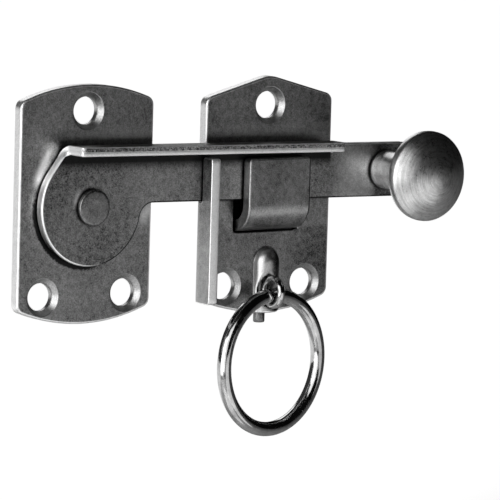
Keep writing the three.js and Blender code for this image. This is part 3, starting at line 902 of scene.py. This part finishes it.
def knob():
    rim = KNOB_RIM
    depth = KNOB_FRONT - KNOB_RIM_FRONT
    edge = rim - 0.25
    cap_radius = (edge ** 2 + depth ** 2) / (2 * depth)
    cap_angle = math.degrees(math.asin(edge / cap_radius))
    dome = arc(0, KNOB_FRONT - cap_radius, cap_radius, 90 - cap_angle, 90, 0.16)
    dome = [(max(r, 0), z - KNOB_RIDGE * (i % 2)) for i, (r, z) in enumerate(dome)]
    dome[-1] = (0, dome[-1][1])
    neck = [(KNOB_NECK, ARM_FRONT + 0.05 + (KNOB_NECK_END - ARM_FRONT) * i / 12) for i in range(12)]
    profile = [
        (0, ARM_BACK - 0.05), (KNOB_TENON - 0.6, ARM_BACK - 0.05), (KNOB_TENON - 0.2, ARM_BACK + 0.05),
        (KNOB_TENON, ARM_BACK + 0.3), (KNOB_TENON, ARM_FRONT - 0.1), (KNOB_TENON, ARM_FRONT + 0.04),
        (KNOB_NECK - 0.2, ARM_FRONT + 0.04), *neck,
        *arc(KNOB_NECK + KNOB_FLARE, KNOB_NECK_END, KNOB_FLARE, 180, 125, 0.2),
        (rim - 1.3, KNOB_RIM_BACK - 0.75), (rim - 0.9, KNOB_RIM_BACK - 0.5),
        (rim - 0.55, KNOB_RIM_BACK - 0.2), (rim - 0.25, KNOB_RIM_BACK + 0.15),
        (rim - 0.08, KNOB_RIM_BACK + 0.55), (rim, (KNOB_RIM_BACK + KNOB_RIM_FRONT) / 2),
        (rim - 0.05, KNOB_RIM_FRONT - 0.45), *dome,
    ]
    verts, faces = revolve(profile, 144, (KNOB_X, KNOB_Y, 0))
    return make("turned_knob", drooped(verts), faces)


def rivet():
    head = ARM_FRONT + GAP * 0.2
    top = ARM_FRONT + GAP + RIVET_HEIGHT - 0.15
    profile = [
        (0, 0.08), (RIVET_TAIL - 0.9, 0.06), (RIVET_TAIL - 0.25, 0.03), (RIVET_TAIL - 0.08, 0.12),
        (RIVET_SHANK, RIVET_TAIL_DEPTH), (RIVET_SHANK, head), (RIVET_HEAD - 0.2, head),
        (RIVET_HEAD, head + 0.15), (RIVET_HEAD, top - 0.45),
        *[(RIVET_HEAD - 0.5 * (1 - math.cos(a)), top - 0.45 + 0.45 * math.sin(a))
          for a in ROUND_ANGLES],
        (RIVET_HEAD - 0.8, top + 0.01), (RIVET_HEAD - 1.4, top + 0.03), (2.4, top + 0.05),
        (1.8, top + 0.05), (1.2, top + 0.03), (0.6, top + 0.01), (0, top),
    ]
    return make("pivot_rivet_set", *revolve(profile, 96, (0, 0, 0)))


# -------- ring

def ring_pin():
    low, high, r = PIN_BOTTOM, PIN_TOP, PIN_RADIUS
    profile = [(0, low), (r - 0.45, low), (r - 0.2, low + 0.06), (r, low + 0.3)]
    profile += [(r, low + 0.3 + (high - low - 0.6) * i / 20) for i in range(1, 20)]
    profile += [(r, high - 0.3), (r - 0.3, high), (0, high)]
    return make("ring_pin_rod", *revolve(profile, 48, (PIN_X, 0, PIN_Z), axis="y"))


def ring_eye():
    verts, faces = torus(EYE_RADIUS, oval(EYE_HALF_THICK, EYE_HALF_WIDE, 24), 96)
    verts = np.stack([verts[:, 2], verts[:, 0], verts[:, 1]], 1) + np.array((PIN_X, EYE_Y, EYE_Z))
    eye = make("ring_eye_loop", verts, faces)
    tail_top = EYE_Z - EYE_RADIUS
    tail = [(0, 0.3), (EYE_TAIL, 0.3), (EYE_TAIL, tail_top - 0.9), (EYE_TAIL + 0.1, tail_top - 0.55),
            (EYE_TAIL + 0.1, tail_top), (0, tail_top)]
    return boolean(eye, make("tail", *revolve(tail, 32, (PIN_X, EYE_Y, 0))), "UNION")


def pull_ring():
    verts, faces = torus(RING_RADIUS, oval(RING_WIRE, RING_WIRE, 40), 240)
    centre = np.array((PIN_X, EYE_Y - RING_SINK - RING_RADIUS, EYE_Z))
    return make("pull_ring_wire", turned(verts + centre, RING_TURN, 0, 2, centre), faces)


# -------- materials

RANGE_ENDS = ("From Min", "From Max", "To Min", "To Max")


class Nodes:
    """A material's node tree, with short calls for the nodes that the steels share."""

    def __init__(self, name):
        self.material = bpy.data.materials.new(name)
        self.material.use_nodes = True
        self.tree = self.material.node_tree
        self.tree.nodes.clear()
        output = self.add("ShaderNodeOutputMaterial")
        self.shader = self.add("ShaderNodeBsdfPrincipled")
        self.link(self.shader.outputs[0], output.inputs[0])
        self.place = self.add("ShaderNodeTexCoord").outputs["Object"]

    def add(self, kind, **settings):
        node = self.tree.nodes.new(kind)
        for key, value in settings.items():
            setattr(node, key, value)
        return node

    def fill(self, node, **values):
        """Sets a node's inputs, whose names are written with _ for a space."""
        for key, value in values.items():
            node.inputs[key.replace("_", " ")].default_value = value
        return node

    def link(self, source, target):
        self.tree.links.new(source, target)

    def stretched(self, stretch, turn=(0, 0, 0)):
        """The object's own coordinates in millimetres, turned and then divided by stretch."""
        mapping = self.add("ShaderNodeMapping", vector_type="TEXTURE")
        self.link(self.place, mapping.inputs["Vector"])
        self.fill(mapping, Rotation=turn, Scale=[MM * s for s in stretch])
        return mapping.outputs[0]

    def noise(self, stretch, detail=3.0, roughness=0.6, turn=(0, 0, 0)):
        node = self.add("ShaderNodeTexNoise")
        self.link(self.stretched(stretch, turn), node.inputs["Vector"])
        return self.fill(node, Scale=1.0, Detail=detail, Roughness=roughness).outputs["Fac"]

    def range(self, value, low, high, to_low=0.0, to_high=1.0):
        node = self.add("ShaderNodeMapRange")
        self.link(value, node.inputs["Value"])
        for key, number in zip(RANGE_ENDS, (low, high, to_low, to_high)):
            node.inputs[key].default_value = number
        return node.outputs[0]

    def spread(self, noise, to_low, to_high):
        """The range that a noise mostly keeps to, taken to another one."""
        return self.range(noise, 0.3, 0.7, to_low, to_high)

    def math(self, operation, first, second):
        node = self.add("ShaderNodeMath", operation=operation)
        for socket, value in zip(node.inputs, (first, second)):
            if isinstance(value, (int, float)):
                socket.default_value = value
            else:
                self.link(value, socket)
        return node.outputs[0]

    def times(self, first, second):
        return self.math("MULTIPLY", first, second)

    def total(self, *values):
        result = values[0]
        for value in values[1:]:
            result = self.math("ADD", result, value)
        return result

    def grey(self, value, dark, light):
        """A ramp from a dark grey at 0 to a light grey at 1."""
        node = self.add("ShaderNodeMix", data_type="RGBA")
        self.link(value, node.inputs["Factor"])
        node.clamp_factor = False
        for key, tone in (("A", dark), ("B", light)):
            node.inputs[key].default_value = (tone, tone, tone, 1)
        return node.outputs["Result"]

    def scratches(self, turn, length=9.0, width=0.12, threshold=0.68):
        """Thin straight marks along one direction: 1 on a scratch, 0 elsewhere."""
        lines = self.noise((length, width, width), 1.0, 0.3, turn)
        return self.range(lines, threshold, threshold + 0.05)

    def crevice(self, reach, darkest):
        """Painted shade: from darkest, deep in a corner, to 1 where nothing stands within reach (mm)."""
        node = self.add("ShaderNodeAmbientOcclusion", samples=8)
        self.fill(node, Distance=reach * MM)
        return self.range(node.outputs["AO"], 0.45, 0.85, darkest, 1.0)

    def on_arm(self):
        """The place on the level arm in millimetres, as separate X, Y and Z."""
        parts = self.add("ShaderNodeSeparateXYZ")
        self.link(self.stretched((1, 1, 1), (0, ARM_DROOP, 0)), parts.inputs[0])
        return parts.outputs

    def turning(self, axis):
        """Fine rings about an axis through a point of the arm, as a lathe tool leaves them."""
        parts = self.on_arm()
        x = self.math("SUBTRACT", parts["X"], axis[0])
        z = self.math("SUBTRACT", parts["Z"], axis[1])
        square = self.total(self.times(x, x), self.times(z, z))
        radius = self.math("SQRT", square, 0.0)
        spot = self.add("ShaderNodeCombineXYZ")
        self.link(self.times(radius, 3.2), spot.inputs["X"])
        self.link(self.times(parts["Y"], 0.6), spot.inputs["Y"])
        self.link(self.times(self.math("ARCTAN2", x, z), 1.2), spot.inputs["Z"])
        node = self.add("ShaderNodeTexNoise")
        self.link(spot.outputs[0], node.inputs["Vector"])
        return self.fill(node, Scale=1.0, Detail=2.0).outputs["Fac"]

    def ledge_shadow(self):
        """Painted shadow on the arm just under its ledge, up to the inside of the ledge's bend and fading
        out downwards; none on the ledge or past its end.
        """
        parts = self.on_arm()
        corner = LEDGE_TOP - ARM_SHEET
        below = self.range(parts["Z"], corner - 4.3, corner - 2.0, 1.0, 0.03)
        on_ledge = self.range(parts["Z"], corner - 0.04, corner)
        past_end = self.range(parts["X"], LEDGE_RIGHT - 0.3, LEDGE_RIGHT + 0.3)
        return self.math("MINIMUM", self.total(below, on_ledge, past_end), 1.0)

    def attribute(self, name):
        return self.add("ShaderNodeAttribute", attribute_name=name).outputs["Fac"]

    def bump(self, height, distance):
        node = self.add("ShaderNodeBump")
        self.fill(node, Strength=1.0, Distance=distance * MM)
        self.link(height, node.inputs["Height"])
        self.link(node.outputs[0], self.shader.inputs["Normal"])


def steel(name, dark, light, gloss, brushing=(0.12, 0.12, 4.0), sheared=False, grain=1.0,
          shade_under_ledge=False, turned=False):
    """Tumbled steel: fine grain, cloudy patches, brushing and a few stray scratches.

    Every steel is painted darker in its corners and creases. sheared steel also shows its mesh's marks,
    with the light and shade painted into them, stained has a painted shadow under the arm's ledge and
    turned the lathe's rings about the knob's axis."""
    n = Nodes(name)
    n.fill(n.shader, Metallic=1.0)
    speck = n.noise((0.3, 0.3, 0.3), 2.0, 0.7)
    cloud = n.noise((1.4, 1.4, 1.6), 4.0, 0.65)
    wide = n.noise((14, 14, 14), 2.0, 0.5)
    brush = n.noise(brushing, 2.0, 0.6)
    marks = n.total(
        n.scratches((0, math.radians(42), 0)),
        n.scratches((0, math.radians(-48), 0), 7.0, 0.1, 0.7),
        n.scratches((0, math.radians(8), math.radians(20)), 5.0, 0.1, 0.71),
    )
    tone = n.total(
        n.spread(speck, -0.3 * grain, 0.3 * grain),
        n.spread(cloud, 0.53 - 0.21 * grain, 0.53 + 0.21 * grain),
        n.range(wide, 0.35, 0.65, -0.08, 0.1), n.spread(brush, -0.07, 0.07),
        n.times(marks, 0.25),
    )
    rough = n.total(
        n.spread(cloud, gloss - 0.03, gloss + 0.04), n.spread(brush, -0.03, 0.04),
        n.spread(speck, -0.03, 0.04),
    )
    height = n.total(
        n.times(speck, 0.6 * grain), n.times(brush, 0.35),
        n.times(marks, -0.3),
    )
    if turned:
        rings = n.turning((KNOB_X, KNOB_Y))
        tone = n.total(tone, n.range(rings, 0.35, 0.65, -0.11, 0.11))
        height = n.total(height, n.times(rings, 0.8))
    if sheared:
        edge, tear = n.attribute("edge"), n.attribute("tear")
        pits = n.noise((0.35, 0.3, 0.5), 3.0, 0.75)
        painted_light = n.attribute("painted_light")
        # edges are worn bright with their highlight painted in, and faces take the light and shade painted
        # into the third mark
        tone = n.total(tone, n.times(edge, 1.75), n.times(painted_light, 0.55))
        tone = n.total(tone, n.times(tear, n.range(pits, 0.42, 0.62, -2.3, -1.0)))
        rough = n.total(rough, n.times(edge, 0.06), n.times(tear, 0.12))
        height = n.total(height, n.times(tear, n.times(pits, 8.0)))
    # painted shade in corners and creases, from ambient occlusion, except where the open mark keeps a face
    # free of it
    shade = n.crevice(1.5, 0.03)
    if sheared:
        shade = n.math("MAXIMUM", shade, n.attribute("open"))
    tone = n.times(n.range(tone, 0.0, 2.5, 0.0, 2.5), shade)
    # painted shadow under the arm's ledge, not on its edges
    if shade_under_ledge:
        tone = n.times(tone, n.math("MAXIMUM", n.ledge_shadow(), n.attribute("edge")))
    n.link(n.grey(tone, dark, light), n.shader.inputs["Base Color"])
    n.link(rough, n.shader.inputs["Roughness"])
    n.bump(height, 0.012)
    return n.material


def polished(name, dark, light, gloss):
    """Bright drawn wire: nearly a mirror, with faint rings of draw marks and fine scuffs from use."""
    n = Nodes(name)
    n.fill(n.shader, Metallic=1.0)
    cloud = n.noise((3.5, 3.5, 3.5), 3.0, 0.6)
    speck = n.noise((0.25, 0.25, 0.25), 2.0, 0.6)
    marks = n.scratches((math.radians(30), math.radians(35), 0), 3.0, 0.1, 0.72)
    tone = n.total(n.spread(cloud, 0.2, 0.9), n.times(marks, -0.3))
    rough = n.total(n.spread(cloud, gloss - 0.03, gloss + 0.05), n.times(marks, 0.1))
    n.link(n.grey(n.range(tone, 0.0, 1.0), dark, light), n.shader.inputs["Base Color"])
    n.link(rough, n.shader.inputs["Roughness"])
    n.bump(n.total(n.times(speck, 0.3), n.times(marks, -0.5), cloud), 0.012)
    return n.material


def one_sided(tree, source, toward, ends):
    """A strength that grows smoothly from one side to the other."""
    along = tree.nodes.new("ShaderNodeVectorMath")
    along.operation = "DOT_PRODUCT"
    along.inputs[1].default_value = toward
    tree.links.new(source, along.inputs[0])
    share = tree.nodes.new("ShaderNodeMapRange")
    share.interpolation_type = "SMOOTHSTEP"
    tree.links.new(along.outputs["Value"], share.inputs["Value"])
    for key, number in zip(RANGE_ENDS, ends):
        share.inputs[key].default_value = number
    return share.outputs[0]


def paper(name, shade, toward, dim, glow):
    """A pale matt floor with a trace of tooth that glows by its own emission as painted light, brightly on
    one side and dimly on the other.
    """
    n = Nodes(name)
    tooth = n.noise((400, 400, 400), 3.0, 0.6)
    n.link(n.grey(tooth, shade * 0.985, shade), n.shader.inputs["Base Color"])
    n.fill(n.shader, Roughness=0.9, Emission_Color=(1, 1, 1, 1))
    n.link(one_sided(n.tree, n.place, toward, (0.5, 1.1, dim, glow)), n.shader.inputs["Emission Strength"])
    return n.material


# -------- pieces

def settle(obj, material, node, body):
    """Gives a piece its steel and says which body it rides, which node it replaces."""
    obj.data.materials.clear()
    obj.data.materials.append(material)
    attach(obj, body)
    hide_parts(node)


# each steel's dark and light greys, then how rough it is
plate_steel = steel("plate_steel", 0.015, 0.38, 0.34, sheared=True)
arm_steel = steel("arm_steel", 0.015, 0.44, 0.38, (0.9, 0.12, 0.12), sheared=True, shade_under_ledge=True)
rivet_steel = steel("rivet_steel", 0.02, 0.29, 0.30)
knob_steel = steel("turned_steel", 0.06, 0.90, 0.30, grain=0.3, turned=True)
bright_steel = polished("polished_steel", 0.30, 0.66, 0.10)

settle(pivot_plate(), plate_steel, "pivot_plate", "mounted_plates")
settle(keeper_plate(), plate_steel, "keeper_plate", "mounted_plates")
settle(rivet(), rivet_steel, "pivot_rivet", "mounted_plates")
settle(latch_arm(), arm_steel, "latch_arm", "arm")
settle(knob(), knob_steel, "knob", "arm")
settle(ring_pin(), rivet_steel, "ring_pin", "ring_swivel")
settle(ring_eye(), bright_steel, "ring_eye", "ring_swivel")
settle(pull_ring(), bright_steel, "pull_ring", "ring")


# -------- stage, light and camera

AIM = (0.03, 0, 0)

# name, place, size (metres) and power (watts) of each softbox
LAMPS = (
    ("left_box", (-1.1, -0.45, 0.15), (1.0, 1.2), 10),
    ("far_left_box", (-0.9, -1.2, 0.45), (1.1, 1.8), 9.5),
    ("front_card", (0.16, -0.42, -0.20), (0.45, 0.36), 0.42),
    ("rim_box", (0.33, 0.80, 0.52), (0.5, 0.5), 1.3),
    ("low_card", (-0.12, -0.22, -0.5), (0.5, 0.5), 0.45),
)
FLOOR_RADIUS = 24.0
FLOOR_Z = -0.60
LENS = 325.4
SENSOR = 36
CAMERA_PLACE = (-0.62668, -0.93177, 0.12052)
CAMERA_RIGHT = (0.80951, -0.58640, 0.02831)
CAMERA_UP = (0.04508, 0.11016, 0.99287)


def floor():
    """A wide round pale floor below the latch."""
    mesh = bpy.data.meshes.new("floor")
    build = bmesh.new()
    bmesh.ops.create_circle(build, cap_ends=True, radius=FLOOR_RADIUS, segments=96)
    bmesh.ops.translate(build, verts=build.verts, vec=(0, 0, FLOOR_Z))
    build.to_mesh(mesh)
    build.free()
    obj = placed("floor", mesh)
    mesh.materials.append(paper("floor_paper", 0.92, (-0.5, 0.87, 0), 0.05, 1.0))


def softbox(name, place, size, power):
    """A rectangular light that faces the latch and isn't seen by the camera."""
    light = bpy.data.lights.new(name, "AREA")
    light.shape = "RECTANGLE"
    light.size, light.size_y = size
    light.energy = power
    obj = placed(name, light)
    obj.location = place
    obj.rotation_mode = "QUATERNION"
    obj.rotation_quaternion = (Vector(AIM) - Vector(place)).to_track_quat("-Z", "Y")
    obj.visible_camera = False


def world(toward, dark, light):
    """A studio that is light on one side and dark on the other."""
    w = bpy.data.worlds.new("studio")
    w.use_nodes = True
    tree = w.node_tree
    place = tree.nodes.new("ShaderNodeTexCoord")
    ends = (-0.1, 0.95, dark, light)
    share = one_sided(tree, place.outputs["Generated"], Vector(toward).normalized(), ends)
    tree.links.new(share, tree.nodes["Background"].inputs["Strength"])
    bpy.context.scene.world = w


def camera():
    """A long lens to the left of the latch and a little above it, rolled slightly."""
    data = bpy.data.cameras.new("camera")
    data.lens = LENS
    data.sensor_width = SENSOR
    data.clip_start, data.clip_end = 0.05, 50
    right, up = Vector(CAMERA_RIGHT), Vector(CAMERA_UP)
    back = right.cross(up)
    turn = Matrix((right, up, back)).transposed().to_4x4()
    obj = placed("camera", data)
    obj.matrix_world = Matrix.Translation(Vector(CAMERA_PLACE)) @ turn
    bpy.context.scene.camera = obj


floor()
world((-0.85, 0.5, 0.1), 0.06, 1.15)
for lamp in LAMPS:
    softbox(*lamp)
camera()
bpy.context.scene.view_settings.view_transform = "Standard"
